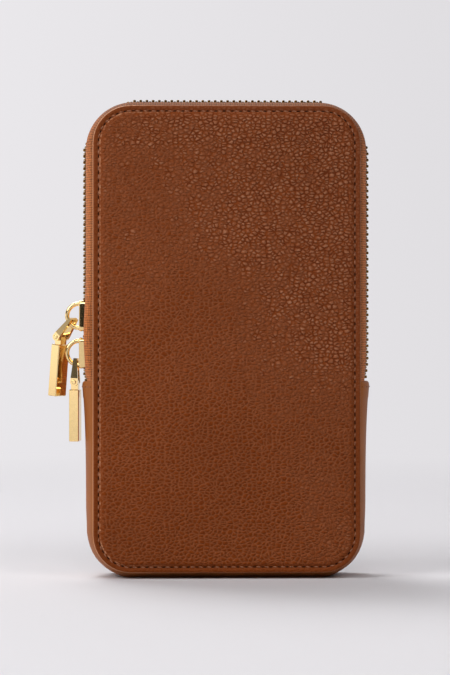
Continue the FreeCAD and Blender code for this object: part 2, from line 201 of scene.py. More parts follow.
class PouchColours(bpy.types.PropertyGroup):
    """Colours of the materials, as they look in plain light."""

    leather: colour("Leather", "Pebbled leather of the panels", "#7b370a")
    # painted sheen: a paler, less saturated leather colour mixed in towards the upper right
    leather_sheen: colour("Dry leather", "Drier leather towards the upper right", "#783a18")
    # painted shade: the colour in the creases between the pebbles
    crease_shade: colour("Crease", "Between the pebbles of the leather", "#5a240a")
    # painted highlight: the colour of the pebbles' tops and of the pale net
    pebble_highlight: colour("Pebble top", "Rubbed tops of the leather's pebbles", "#99684c")
    # partly the edge's own paler tone, partly painted highlight on the edge and along the shoulder
    pale_edge_and_highlight: colour("Leather edge", "Rubbed edge of the panels", "#c48f6b")
    gusset: colour("Gusset", "Smooth leather of the gusset", "#9a5a2a")
    tape: colour("Tape", "Woven tape of the zip", "#a9612e")
    thread: colour("Thread", "Sewing thread", "#8f5a3a")
    # painted shadow: the colour of the dark beads set into the needle holes
    hole_shadow: colour("Needle hole", "Inside of the needle holes", "#2a140a")
    brass: colour("Brass", "Teeth of the zip", "#9e7842")
    gold: colour("Gold", "Plating of the sliders and pulls", "#f4d497")
    lining: colour("Lining", "Lining fabric", "#a0693f")
    floor: colour("Floor", "Floor and backdrop", "#d9d7da")


# shared helpers

def smooth(value):
    """Ease from 0 to 1."""
    value = min(max(value, 0.0), 1.0)
    return value * value * (3 - 2 * value)


def finish_piece(name, bm, material):
    """Turn a bmesh into a smooth-shaded object with its material."""
    mesh = bpy.data.meshes.new(name)
    bm.to_mesh(mesh)
    bm.free()
    mesh.shade_smooth()
    mesh.materials.append(material)
    piece = bpy.data.objects.new(name, mesh)
    bpy.context.scene.collection.objects.link(piece)
    return piece


def hang(piece, side):
    """Front pieces bend at the fold between the pouch and its front flap. The rest ride on the pouch."""
    if side < 0:
        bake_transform(piece, "pouch", "front_flap", start=FOLD_START, end=FOLD_END)
    else:
        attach(piece, "pouch")


def thicken(piece, thickness):
    """Give a sheet its thickness on its inner side."""
    modifier = piece.modifiers.new("thickness", "SOLIDIFY")
    modifier.thickness = thickness
    modifier.offset = -1.0


def side_name(side):
    """Word for the side in a piece's name."""
    return "front" if side < 0 else "back"


def pick(rows, share):
    """The row that belongs to a grid coordinate between -1 and 1."""
    return rows[round((share + 1) / 2 * (len(rows) - 1))]


def flip(vector):
    """A vector's mirror image, left for right."""
    return Vector((-vector.x, vector.y, vector.z))


def both_sides(left):
    """Stations from the left end to the middle, and on to the right end as their mirror image."""
    return left + [(flip(place), flip(outward), *rest) for place, outward, *rest in reversed(left[:-1])]


def face_towards(bm, direction):
    """Turn the faces of an open sheet so that the one furthest in a direction looks that way."""
    bmesh.ops.recalc_face_normals(bm, faces=bm.faces[:])
    furthest = max(bm.faces, key=lambda face: face.calc_center_median().dot(direction))
    if furthest.normal.dot(direction) < 0:
        bmesh.ops.reverse_faces(bm, faces=bm.faces[:])


def corner_centres(sizes):
    """Half width between the corners' centres, and their two heights."""
    radius = sizes.corner_radius
    return HALF_WIDTH - radius, PANEL_BOTTOM + radius, PANEL_TOP - radius


def walk_outline(sizes, inset, pitch):
    """Evenly spaced places round the panel at an inset: point and direction of the run."""
    half, low, high = corner_centres(sizes)
    reach = sizes.corner_radius - inset
    quarter = reach * math.pi / 2
    corners = [(-half, low), (half, low), (half, high), (-half, high)]
    runs = [half * 2, high - low, half * 2, high - low]
    total = sum(runs) + quarter * 4
    count = round(total / pitch)
    places = []
    for number in range(count):
        run = total * number / count
        for leg in range(4):
            start_angle = math.pi / 2 * (leg - 1)
            angle = start_angle + max(0.0, run - runs[leg]) / reach
            if run <= runs[leg] + quarter:
                break
            run -= runs[leg] + quarter
        outward = Vector((math.cos(angle), 0.0, math.sin(angle)))
        onward = Vector((-math.sin(angle), 0.0, math.cos(angle)))
        straight = Vector((-math.sin(start_angle), 0.0, math.cos(start_angle)))
        centre = Vector((corners[leg][0], 0.0, corners[leg][1])) + straight * min(run, runs[leg])
        places.append((centre + outward * reach, onward))
    return places


def add_bead(bm, place, along, depth, half_length, half_width, half_height):
    """One rounded bead: a stitch of thread, or a dark bead painted as shadow in one of the needle holes."""
    sideways = along.cross(depth)
    turn = Matrix((sideways * half_width, depth * half_height, along * half_length)).transposed().to_4x4()
    bmesh.ops.create_uvsphere(bm, u_segments=8, v_segments=6, radius=1.0,
                              matrix=Matrix.Translation(place) @ turn)


# materials

def fill_node(node, *values, **settings):
    """Set a node's properties, then its live sockets: values in order, settings by name with _ for a space.
    A node or an output is linked. The stops of a ramp are positions and grey levels."""
    for key in [key for key in settings if hasattr(node, key)]:
        setattr(node, key, settings.pop(key))
    stops = settings.pop("stops", [])
    for position, level in stops[1:-1]:
        node.color_ramp.elements.new(position)
    for element, (position, level) in zip(node.color_ramp.elements if stops else [], stops):
        element.position = position
        element.color = (level, level, level, 1.0)
    pairs = list(zip([socket for socket in node.inputs if socket.enabled], values))
    pairs += [(node.inputs[key.replace("_", " ")], value) for key, value in settings.items()]
    for socket, value in pairs:
        if isinstance(value, bpy.types.Node):
            value = next(output for output in value.outputs if output.enabled)
        if isinstance(value, bpy.types.NodeSocket):
            node.id_data.links.new(value, socket)
        else:
            socket.default_value = value
    return node


def add_node(tree, kind, *values, **settings):
    """Add a node with its settings and links."""
    return fill_node(tree.nodes.new("ShaderNode" + kind), *values, **settings)


def new_material(name):
    """A node material, the call that adds a node to it, and its shader."""
    material = bpy.data.materials.new(name)
    material.use_nodes = True
    tree = material.node_tree
    return material, partial(add_node, tree), tree.nodes["Principled BSDF"]


def shade(value, factor=1.0):
    """A colour with full alpha, made lighter or darker."""
    return (value[0] * factor, value[1] * factor, value[2] * factor, 1.0)


def pebbled_leather(colours):
    """Full-grain calf leather, drum-tumbled and aniline-dyed: domed pebbles of about 1.8 by 1.3 mm. Towards
    the upper right a paler, less saturated sheen is painted on, with painted highlights on the pebbles' tops
    and painted shade in interrupted creases; elsewhere the pebbles are painted darker as shade in a slightly
    paler net painted as highlight. The seam's sunken line carries painted shade, and the edge is paler,
    partly as its own tone and partly as painted highlight, more so on the left."""
    material, add, shader = new_material("full_grain_leather_tumbled")
    spot = add("TexCoord").outputs["Object"]
    left_right = add("SeparateXYZ", Vector=spot).outputs["X"]
    inset = add("Attribute", attribute_name="inset").outputs["Fac"]
    # pebbles, drawn on the face in two dimensions and pushed out of line
    face = add("Mapping", Rotation=(-math.pi / 2, 0.0, 0.0), Scale=(0.84, 1.22, 1.16), Vector=spot)
    bend = add("TexNoise", Scale=1 / (5 * MM), Detail=5.0, Roughness=0.72, Vector=spot)
    pushed = add("VectorMath", bend.outputs["Color"], (2.6 * MM,) * 3, face, operation="MULTIPLY_ADD")
    cells = {"voronoi_dimensions": "2D", "Scale": 1 / (1.55 * MM), "Vector": pushed}
    edge = add("TexVoronoi", feature="DISTANCE_TO_EDGE", **cells)
    middle = add("TexVoronoi", feature="F1", **cells)
    clear = add("MapRange", interpolation_type="SMOOTHSTEP", From_Max=0.3, Value=edge)
    sunk = add("Math", 1.0, clear, operation="SUBTRACT")
    domes = add("Math", middle, -1.1, clear, operation="MULTIPLY_ADD")
    pores = add("TexNoise", Scale=1 / (1.3 * MM), Detail=3.0, Vector=spot)
    height = add("Math", pores, 0.35, domes, operation="MULTIPLY_ADD")
    # a region towards the upper right: the grain is deeper there, a sheen is painted on, and the pebbles'
    # tops carry painted highlights instead of painted shade
    slow = add("TexNoise", Scale=1 / (38 * MM), Detail=1.0, Vector=spot)
    lean = add("VectorMath", spot, (7.0, 0.0, 5.0), operation="DOT_PRODUCT")
    uneven = add("Math", lean, slow, operation="ADD")
    region = add("MapRange", From_Min=0.42, From_Max=1.5, To_Max=0.92, Value=uneven)
    patch = add("MapRange", From_Min=0.3, From_Max=0.7, To_Min=-0.3, To_Max=0.3, Value=bend)
    share = add("Math", region, patch, operation="ADD", use_clamp=True)
    lit_tops_share = add("MapRange", From_Min=0.4, From_Max=0.76, Value=share)
    sheen_share = add("MapRange", From_Min=0.3, From_Max=0.92, Value=region)
    # the grain is pressed flat on the border
    flat = add("MapRange", From_Min=1.5 * MM, From_Max=5 * MM, To_Min=0.35, Value=inset)
    depth = add("MapRange", From_Max=0.72, To_Min=0.8, Value=region)
    grain = add("Math", flat, depth, operation="MULTIPLY")
    bump = add("Bump", Distance=0.28 * MM, Height=height, Strength=grain)
    # painted shade and painted highlight on the pebbles: outside the region the pebbles are painted dark in a
    # net painted pale, inside it the tops are painted pale and the creases dark
    ripple = add("TexNoise", Scale=1 / (2.6 * MM), Detail=4.0, Roughness=0.65, Vector=pushed)
    filled = add("MapRange", From_Min=0.42, From_Max=0.56, To_Min=1.0, To_Max=0.1, Value=ripple)
    lines = add("Math", sunk, filled, operation="MULTIPLY")
    domed = add("MapRange", interpolation_type="SMOOTHSTEP", From_Min=-0.35, From_Max=1.0, Value=domes)
    tone = add("MapRange", From_Min=0.3, From_Max=0.7, To_Min=0.15, To_Max=1.0, Value=pores)
    tops = add("Math", domed, tone, operation="MULTIPLY")
    net = add("Math", sunk, 0.32, operation="MULTIPLY")
    dark = add("Mix", lit_tops_share, tops, lines, data_type="FLOAT")
    pale = add("Mix", lit_tops_share, net, tops, data_type="FLOAT")
    soft = add("Math", grain, 0.75, operation="MULTIPLY")
    crease_shade_amount = add("Math", dark, soft, operation="MULTIPLY")
    highlight_amount = add("Math", pale, grain, operation="MULTIPLY")
    # colour of the field: the painted sheen, painted shade in the creases and painted highlights on the tops
    sheened = add("Mix", sheen_share, shade(colours.leather), shade(colours.leather_sheen), data_type="RGBA")
    ground = add("Mix", crease_shade_amount, sheened, shade(colours.crease_shade), data_type="RGBA")
    body = add("Mix", highlight_amount, ground, shade(colours.pebble_highlight), data_type="RGBA")
    mottle = add("MapRange", From_Min=0.3, From_Max=0.7, To_Min=0.92, To_Max=1.08, Value=slow)
    dyed = add("VectorMath", body, operation="SCALE", Scale=mottle)
    # across the border: painted shade in the seam's sunken line, a paler edge that is partly its own tone and
    # partly painted highlight, stronger on the left, and a painted highlight along the shoulder on the left
    across = add("Math", inset, 6 * MM, operation="DIVIDE")
    # painted shade: the border is darkened, most in the seam's sunken line
    groove_shade = add("ValToRGB", Fac=across, stops=[
        (0.0, 1.0), (0.09, 0.82), (0.28, 0.82), (0.38, 0.7), (0.46, 1.0), (0.75, 1.0)])
    groove_shaded = add("Mix", 1.0, dyed, groove_shade, data_type="RGBA", blend_type="MULTIPLY")
    # the paler rolled edge: partly its own tone, partly painted highlight
    ridges = add("ValToRGB", Fac=across, stops=[(0.02, 0.95), (0.066, 0.0), (0.9, 0.0), (1.0, 0.0)])
    # painted highlight: a pale line along the shoulder beside the stitches, on the left side only, broken up
    # by the pores
    shoulder = add("ValToRGB", Fac=across, stops=[(0.41, 0.0), (0.465, 0.9), (0.54, 0.0), (1.0, 0.0)])
    # painted light: the pale marks are stronger on the left, the side that faces the key lamp
    left = add("MapRange", From_Min=-20 * MM, From_Max=-44 * MM, Value=left_right)
    edge_highlight_share = add("MapRange", To_Min=0.3, Value=left)
    highlight_breaks = add("MapRange", From_Min=0.42, From_Max=0.62, Value=pores)
    broken_highlight = add("Math", left, highlight_breaks, operation="MULTIPLY")
    inner = add("Math", shoulder, broken_highlight, operation="MULTIPLY")
    outer = add("Math", ridges, edge_highlight_share, operation="MULTIPLY")
    wear_and_highlight = add("Math", inner, outer, operation="ADD")
    edged = add("Mix", wear_and_highlight, groove_shaded, shade(colours.pale_edge_and_highlight), data_type="RGBA")
    polish = add("MapRange", To_Min=0.62, To_Max=0.38, Value=clear)
    fill_node(shader, Base_Color=edged, Normal=bump, Roughness=polish, IOR=1.46, Specular_IOR_Level=0.08)
    return material


def smooth_leather(colours):
    """Split calf leather, plated flat and lacquered: a fine pore, slow colour drift and a soft gloss."""
    material, add, shader = new_material("calf_leather_plated")
    spot = add("TexCoord").outputs["Object"]
    pore = add("TexVoronoi", feature="DISTANCE_TO_EDGE", Scale=1 / (0.9 * MM), Vector=spot)
    flat = add("MapRange", interpolation_type="SMOOTHSTEP", From_Max=0.25, Value=pore)
    bump = add("Bump", Distance=0.05 * MM, Strength=0.7, Height=flat)
    slow = add("TexNoise", Scale=1 / (14 * MM), Detail=3.0, Vector=spot)
    body = add("Mix", slow, shade(colours.gusset, 0.86), shade(colours.gusset, 1.12), data_type="RGBA")
    fill_node(shader, Base_Color=body, Normal=bump, Roughness=0.5, IOR=1.35, Specular_IOR_Level=0.3)
    return material


def woven_tape(colours):
    """Polyester zip tape, woven in ribs and dyed: matt, with ribs along the tape crossed by fine picks, and
    with painted shade by the seam and towards the top. The weave is drawn about twice as coarse as the real
    one, so that it shows."""
    material, add, shader = new_material("polyester_tape_woven")
    weave_map = add("UVMap", uv_map="weave")
    ribs = add("TexWave", bands_direction="Y", Scale=WAVE_PERIOD / (1.1 * MM), Vector=weave_map)
    picks = add("TexWave", bands_direction="X", Scale=WAVE_PERIOD / (0.9 * MM), Vector=weave_map)
    crossed = add("Math", ribs.outputs["Fac"], picks.outputs["Fac"], operation="MULTIPLY")
    yarn = add("TexNoise", Scale=1 / (1.1 * MM), Detail=2.0, Vector=weave_map)
    uneven = add("MapRange", From_Min=0.32, From_Max=0.68, Value=yarn)
    weave = add("Math", uneven, 0.6, crossed, operation="MULTIPLY_ADD")
    bump = add("Bump", Distance=0.12 * MM, Strength=0.9, Height=weave)
    body = add("Mix", weave, shade(colours.tape, 0.4), shade(colours.tape, 1.7), data_type="RGBA")
    across = add("SeparateXYZ", Vector=weave_map).outputs["Y"]
    # painted shade: the tape is darker where it runs in under the panel's edge
    sunk = add("MapRange", From_Min=3 * MM, From_Max=6.5 * MM, To_Min=0.4, Value=across)
    level = add("SeparateXYZ", Vector=add("TexCoord").outputs["Object"]).outputs["Z"]
    # painted shade: the tape is darker towards the top
    top_shade = add("MapRange", From_Min=PANEL_TOP, From_Max=PANEL_TOP - 20 * MM, To_Min=0.46, Value=level)
    tone = add("Math", sunk, top_shade, operation="MULTIPLY")
    shaded_tape = add("VectorMath", body, operation="SCALE", Scale=tone)
    fill_node(shader, Base_Color=shaded_tape, Normal=bump, Roughness=0.75, Specular_IOR_Level=0.2,
              Sheen_Weight=0.1)
    return material


def waxed_thread(colours):
    """Polyester sewing thread, twisted and waxed: fine light and dark turns and a slight shine."""
    material, add, shader = new_material("polyester_thread_waxed")
    twist = add("TexWave", bands_direction="DIAGONAL", Scale=WAVE_PERIOD / (0.7 * MM),
                Vector=add("TexCoord").outputs["Object"])
    body = add("Mix", twist.outputs["Fac"], shade(colours.thread, 0.72), shade(colours.thread, 1.15),
               data_type="RGBA")
    fill_node(shader, Base_Color=body, Roughness=0.5)
    return material


def needle_hole_shadow(colours):
    """Painted shadow in the needle holes: a dark, rough, unlit colour for the beads set into the border where
    their shade falls.
    """
    material, add, shader = new_material("needle_hole_painted_shadow")
    fibre = add("TexNoise", Scale=1 / (0.4 * MM), Vector=add("TexCoord").outputs["Object"])
    body = add("Mix", fibre, shade(colours.hole_shadow, 0.6), shade(colours.hole_shadow), data_type="RGBA")
    fill_node(shader, Base_Color=body, Roughness=0.95, Specular_IOR_Level=0.1)
    return material


def polished_metal(name, value, rough):
    """Brass or gold-plated zinc, stamped or cast and barrel-polished: bright, with faint clouding of the
    gloss."""
    material, add, shader = new_material(name)
    cloud = add("TexNoise", Scale=1 / (1.5 * MM), Detail=3.0, Vector=add("TexCoord").outputs["Object"])
    gloss = add("MapRange", To_Min=rough * 0.7, To_Max=rough * 1.3, Value=cloud)
    body = add("Mix", cloud, shade(value, 0.93), shade(value), data_type="RGBA")
    fill_node(shader, Base_Color=body, Roughness=gloss, Metallic=1.0)
    return material


def twill_lining(colours):
    """Cotton-polyester lining, twill-woven and dyed: matt with fine slanting lines.
    The twill is drawn about twice as coarse as the real one, so that it shows."""
    material, add, shader = new_material("cotton_lining_twill")
    spot = add("TexCoord").outputs["Object"]
    lines = add("TexWave", bands_direction="DIAGONAL", Scale=WAVE_PERIOD / (1.2 * MM), Vector=spot)
    slub = add("TexNoise", Scale=1 / (2 * MM), Detail=3.0, Vector=spot)
    height = add("Math", lines.outputs["Fac"], slub, operation="MULTIPLY")
    bump = add("Bump", Distance=0.1 * MM, Strength=0.6, Height=height)
    body = add("Mix", height, shade(colours.lining, 0.8), shade(colours.lining, 1.1), data_type="RGBA")
    fill_node(shader, Base_Color=body, Normal=bump, Roughness=0.85)
    return material


def matt_paper(colours):
    """Coated backdrop paper, rolled and matt: pale and even, with a slow drift. Away from the pouch the eye
    and reflections see it as evenly lit, a little brighter on the left."""
    material, add, shader = new_material("paper_backdrop_matt")
    spot = add("TexCoord").outputs["Object"]
    drift = add("TexNoise", Scale=1.2, Detail=1.0, Vector=spot)
    body = add("Mix", drift, shade(colours.floor, 0.97), shade(colours.floor), data_type="RGBA")
    fill_node(shader, Base_Color=body, Roughness=0.85, Specular_IOR_Level=0.1)
    seen = add("LightPath").outputs
    straight = add("Math", seen["Is Camera Ray"], seen["Is Glossy Ray"], operation="MAXIMUM")
    either = add("Math", straight, seen["Is Transmission Ray"], operation="MAXIMUM")
    away = add("VectorMath", spot, operation="LENGTH")
    far = add("MapRange", interpolation_type="SMOOTHSTEP", From_Min=0.25, From_Max=1.0, Value=away)
    amount = add("Math", either, far, operation="MULTIPLY")
    left_right = add("SeparateXYZ", Vector=spot).outputs["X"]
    slope = add("MapRange", From_Min=-0.25, From_Max=0.25, To_Min=1.21, To_Max=1.1, Value=left_right)
    glow = add("Emission", Color=body, Strength=slope)
    mixed = add("MixShader", amount, shader, glow)
    fill_node(material.node_tree.nodes["Material Output"], Surface=mixed)
    return material


# panels

def open_panel():
    """An empty mesh whose points keep their base, their way out and their inset."""
    bm = bmesh.new()
    for name in ("base", "way_out"):
        bm.verts.layers.float_vector.new(name)
    bm.verts.layers.float.new("inset")
    return bm


def drop_layers(bm):
    """Take away what only the modelling needs. The inset stays for the material."""
    layers = bm.verts.layers.float_vector
    for name in ("way_out", "base"):
        layers.remove(layers[name])


def panel_rows(sizes):
    """Rows of a panel's face from bottom to top: height of the base, and how far out and up its edge is."""
    half, low, high = corner_centres(sizes)
    angles = [math.pi / 2 * step / CORNER_ROWS for step in range(1, CORNER_ROWS)]
    rows = [(low, 0.0, -1.0)]
    rows += [(low, math.cos(angle), -math.sin(angle)) for angle in reversed(angles)]
    rows += [(low + (high - low) * step / STRAIGHT_ROWS, 1.0, 0.0) for step in range(STRAIGHT_ROWS + 1)]
    rows += [(high, math.cos(angle), math.sin(angle)) for angle in angles]
    return rows + [(high, 0.0, 1.0)]


def lay_face(bm, sizes, inset, depth):
    """Lay a grid over the panel's outline at an inset, and give its points and its open edge."""
    half = corner_centres(sizes)[0]
    rows = panel_rows(sizes)
    vectors = bm.verts.layers.float_vector
    base, way_out, inset_mark = vectors["base"], vectors["way_out"], bm.verts.layers.float["inset"]
    reach = sizes.corner_radius - inset
    grid = bmesh.ops.create_grid(bm, x_segments=FACE_COLUMNS, y_segments=len(rows) - 1, size=1.0)
    for vert in grid["verts"]:
        across = vert.co.x
        height, out, rise = pick(rows, vert.co.y)
        at_side = math.copysign(half, across) if out > 0 else across * half
        vert[base] = Vector((at_side, 0.0, height))
        vert[way_out] = Vector((math.copysign(out, across), 0.0, rise))
        vert[inset_mark] = inset
        vert.co = Vector((across * (half + out * reach), depth, height + rise * reach))
    verts = set(grid["verts"])
    return verts, [edge for edge in bm.edges if edge.is_boundary and edge.verts[0] in verts]


def draw_ring(bm, sizes, edges, inset, depth):
    """Draw the open edge on to its next place, given by inset and depth."""
    vectors = bm.verts.layers.float_vector
    base, way_out, inset_mark = vectors["base"], vectors["way_out"], bm.verts.layers.float["inset"]
    made = bmesh.ops.extrude_edge_only(bm, edges=edges)["geom"]
    verts = {item for item in made if isinstance(item, bmesh.types.BMVert)}
    for vert in verts:
        vert.co = vert[base] + vert[way_out] * (sizes.corner_radius - inset)
        vert.co.y = depth
        vert[inset_mark] = inset
    rings = [item for item in made if isinstance(item, bmesh.types.BMEdge)]
    return [edge for edge in rings if edge.verts[0] in verts and edge.verts[1] in verts]


def panel_profile(sizes):
    """Inset and depth of each ring from the padded field out over the border and round the edge: a soft
    crown, a steep shoulder beside the stitches, the sunken seam, a rounded border and its rolled edge."""
    drop = sizes.border_drop
    line = sizes.stitch_inset
    crown = sizes.field_inset - line
    profile = []
    for share, fall in ((0.8, 0.02), (0.62, 0.06), (0.48, 0.12), (0.38, 0.22), (0.31, 0.34), (0.25, 0.5),
                        (0.18, 0.73), (0.11, 0.96), (0.05, 1.1), (0.0, 1.13)):
        profile.append((line + crown * share, FACE_DEPTH - drop * fall))
    for share, fall in ((0.9, 1.1), (0.78, 1.0), (0.63, 0.88), (0.46, 0.82), (0.3, 0.84), (0.17, 0.93),
                        (0.08, 1.08), (0.02, 1.3), (0.0, 1.55)):
        profile.append((line * share, FACE_DEPTH - drop * fall))
    wall = profile[-1][1] - SEAM_DEPTH
    for share, rise in ((0.0, 0.4), (0.05, 0.16), (0.16, 0.04), (0.45, 0.0)):
        profile.append((line * share, SEAM_DEPTH + wall * rise))
    profile.append((sizes.field_inset, SEAM_DEPTH))
    return profile


def model_panel(sizes, side):
    """A panel: padded face, sewn border, rolled edge and flat inner side, closed all round."""
    bm = open_panel()
    field, edges = lay_face(bm, sizes, sizes.field_inset, FACE_DEPTH)
    wide = HALF_WIDTH - sizes.field_inset
    middle = (PANEL_BOTTOM + PANEL_TOP) / 2
    tall = (PANEL_TOP - PANEL_BOTTOM) / 2 - sizes.field_inset
    for vert in field:
        across = vert.co.x / wide
        up = (vert.co.z - middle) / tall
        level = (1 - across ** 2) * (1 - up ** 2)
        wave = sum(math.sin(wide_turn * across + tall_turn * up + start)
                   for wide_turn, tall_turn, start in FACE_WAVES)
        vert.co.y += level * (sizes.face_crown + sizes.face_wave * wave)
    for inset, depth in panel_profile(sizes):
        edges = draw_ring(bm, sizes, edges, inset, depth)
    lay_face(bm, sizes, sizes.field_inset, SEAM_DEPTH)
    bmesh.ops.remove_doubles(bm, verts=bm.verts[:], dist=MERGE)
    bmesh.ops.scale(bm, vec=(1.0, side, 1.0), verts=bm.verts[:])
    bmesh.ops.recalc_face_normals(bm, faces=bm.faces[:])
    drop_layers(bm)
    return bm


def model_stitches(sizes, side, holes):
    """The row of stitches round a panel, or the dark beads painted as shadow in its needle holes."""
    bm = bmesh.new()
    outward = Vector((0.0, side, 0.0))
    depth = FACE_DEPTH - sizes.border_drop
    for place, along in walk_outline(sizes, sizes.stitch_inset, sizes.stitch_pitch):
        # a dark bead painted as shadow inside the needle hole
        if holes:
            spot = place + outward * (depth - HOLE_SINK)
            add_bead(bm, spot, along, outward, sizes.hole_length / 2, sizes.hole_width / 2, HOLE_DEPTH)
        else:
            slant = Matrix.Rotation(STITCH_SLANT, 3, "Y") @ along
            spot = place + along * (sizes.stitch_pitch / 2) + outward * (depth - THREAD_SINK)
            half = (sizes.stitch_pitch - sizes.stitch_gap) / 2
            add_bead(bm, spot, slant, outward, half, sizes.thread_width / 2,
                     sizes.thread_width * THREAD_HEIGHT)
    return bm


def model_lining(sizes, side):
    """Lining of a panel: one sheet of fabric with the panel's rounded outline."""
    bm = open_panel()
    lay_face(bm, sizes, HALF_WIDTH - LINING_HALF_WIDTH, LINING_OUTER * side)
    drop_layers(bm)
    face_towards(bm, Vector((0.0, side, 0.0)))
    return bm


# gusset

def side_bow(sizes, run):
    """How far the gusset stands out on a side, at a distance from its end."""
    side_run = GUSSET_TOP - corner_centres(sizes)[1]
    low_bow = sizes.gusset_side_bow
    bow = low_bow + (sizes.gusset_end_bow - low_bow) * (1 - run / side_run) ** GUSSET_FLARE
    bow += (sizes.gusset_corner_bow - low_bow) * 0.5 * smooth((run - side_run) / GUSSET_EASE + 1)
    return bow - sizes.gusset_end_turn * max(0.0, 1 - run / sizes.hem_stitch) ** 2


def gusset_stations(sizes):
    """Stations of the gusset from its left end, under the bottom, to its right end: base point,
    outward direction, bow and distance from the nearer end."""
    half, low = corner_centres(sizes)[:2]
    radius = sizes.corner_radius
    side_run = GUSSET_TOP - low
    runs = [place * MM for place in HEM_STATIONS]
    rest = side_run - runs[-1]
    runs += [runs[-1] + rest * step / GUSSET_SIDE_STEPS for step in range(1, GUSSET_SIDE_STEPS + 1)]
    left = [(Vector((-HALF_WIDTH, 0.0, GUSSET_TOP - run)), Vector((-1.0, 0.0, 0.0)),
             side_bow(sizes, run), run) for run in runs]
    corner, sole = sizes.gusset_corner_bow, sizes.gusset_sole_bow
    before = (corner + side_bow(sizes, side_run)) / 2
    for step in range(1, GUSSET_CORNER_STEPS + 1):
        angle = math.pi / 2 * step / GUSSET_CORNER_STEPS
        outward = Vector((-math.cos(angle), 0.0, -math.sin(angle)))
        bow = before + (corner - before) * smooth(angle / CORNER_EASE)
        bow += (sole - corner) * smooth((angle - math.pi / 2) / SOLE_EASE + 1)
        left.append((Vector((-half, 0.0, low)) + outward * radius, outward, bow, side_run + radius * angle))
    run = side_run + radius * math.pi / 2
    for step in range(1, GUSSET_SOLE_STEPS + 1):
        share = step / GUSSET_SOLE_STEPS
        left.append((Vector((-half * (1 - share), 0.0, PANEL_BOTTOM)), Vector((0.0, 0.0, -1.0)), sole,
                     run + half * share))
    return both_sides(left)


def bowed(bow, depth):
    """How far out a bowed wall lies at a depth: an arc through its two roots and its middle."""
    sagitta = bow - ROOT
    radius = (SEAM_DEPTH ** 2 + sagitta ** 2) / (2 * sagitta)
    return bow - radius + math.sqrt(max(radius ** 2 - depth ** 2, 0.0))


def model_gusset(sizes):
    """The gusset: one bowed band with a turned, rounded hem at both ends, flat where it stands."""
    stations = gusset_stations(sizes)
    bm = bmesh.new()
    around = BAND_ACROSS * 2
    grid = bmesh.ops.create_grid(bm, x_segments=len(stations) - 1, y_segments=around, size=1.0)
    for vert in grid["verts"]:
        place, outward, bow, run = pick(stations, vert.co.x)
        lap = round((vert.co.y + 1) / 2 * around)
        across = -1 + 2 * lap / BAND_ACROSS if lap <= BAND_ACROSS else 3 - 2 * lap / BAND_ACROSS
        depth = across * SEAM_DEPTH
        hem = sizes.hem_rise * (1 - smooth((run - sizes.hem_depth) / HEM_EASE)) * (1 - across ** 4)
        thick = sizes.gusset_thickness + hem * 2
        closing = math.sqrt(max(0.0, 1 - (1 - min(run / (thick / 2), 1.0)) ** 2))
        skin = 0 if lap % BAND_ACROSS == 0 else (1 if lap < BAND_ACROSS else -1)
        offset = bowed(bow, depth) + hem - thick / 2 + skin * thick / 2 * closing
        vert.co = place + outward * offset + Vector((0.0, depth, 0.0))
        vert.co.z = max(vert.co.z, 0.0)
    bmesh.ops.remove_doubles(bm, verts=bm.verts[:], dist=MERGE)
    bmesh.ops.recalc_face_normals(bm, faces=bm.faces[:])
    return bm


def model_hem_stitches(sizes, holes):
    """Rows of stitches across the gusset's turned ends, or the dark beads painted as shadow in their needle
    holes.
    """
    bm = bmesh.new()
    reach = SEAM_DEPTH - HEM_MARGIN
    count = round(reach * 2 / sizes.stitch_pitch)
    bow = side_bow(sizes, sizes.hem_stitch)
    step = 0.05 * MM
    for side in (-1, 1):
        for number in range(count + 1 if holes else count):
            here = -reach + reach * 2 * number / count + (0.0 if holes else reach / count)
            slope = (bowed(bow, here + step) - bowed(bow, here - step)) / (step * 2)
            along = Vector((side * slope, 1.0, 0.0)).normalized()
            outward = Vector((side, -slope, 0.0)).normalized()
            hem = sizes.hem_rise * (1 - (here / SEAM_DEPTH) ** 4)
            spot = Vector((side * (HALF_WIDTH + bowed(bow, here) + hem), here, GUSSET_TOP - sizes.hem_stitch))
            # a dark bead painted as shadow inside the needle hole
            if holes:
                add_bead(bm, spot - outward * HEM_HOLE_SINK, along, outward, sizes.hole_width / 2,
                         sizes.hole_width / 3, HEM_HOLE_DEPTH)
            else:
                add_bead(bm, spot + outward * HEM_THREAD_LIFT, along, outward,
                         sizes.stitch_pitch * HEM_THREAD, sizes.thread_width / 2,
                         sizes.thread_width * THREAD_HEIGHT)
    return bm


def model_gusset_lining(sizes):
    """Lining of the gusset: one strip of fabric inside it."""
    stations = gusset_stations(sizes)[4:-4]
    bm = bmesh.new()
    grid = bmesh.ops.create_grid(bm, x_segments=len(stations) - 1, y_segments=BAND_ACROSS, size=1.0)
    gap = 0.1 * MM
    for vert in grid["verts"]:
        place, outward, bow, run = pick(stations, vert.co.x)
        depth = vert.co.y * (LINING_INNER - gap)
        offset = bowed(bow, depth) - sizes.gusset_thickness - 2 * sizes.hem_rise - gap
        vert.co = place + outward * offset + Vector((0.0, depth, 0.0))
    face_towards(bm, Vector((-1.0, 0.0, 0.0)))
    return bm


# zip

def rows_parting(sizes, left, height):
    """How far each row stands aside between the two sliders."""
    if not left or height <= LOWER_SLIDER_LOW or height >= UPPER_SLIDER_HIGH:
        return 0.0
    if height < LOWER_SLIDER_HIGH:
        return sizes.rows_part * (height - LOWER_SLIDER_LOW) / (LOWER_SLIDER_HIGH - LOWER_SLIDER_LOW)
    if height > UPPER_SLIDER_LOW:
        return sizes.rows_part * (UPPER_SLIDER_HIGH - height) / (UPPER_SLIDER_HIGH - UPPER_SLIDER_LOW)
    return sizes.rows_part


def chain_bends(sizes):
    """Half width between the centres of the chain's two bends, and their height."""
    radius = sizes.chain_radius
    return HALF_WIDTH + sizes.chain_side_bow - radius, PANEL_TOP + sizes.chain_top_bow - radius


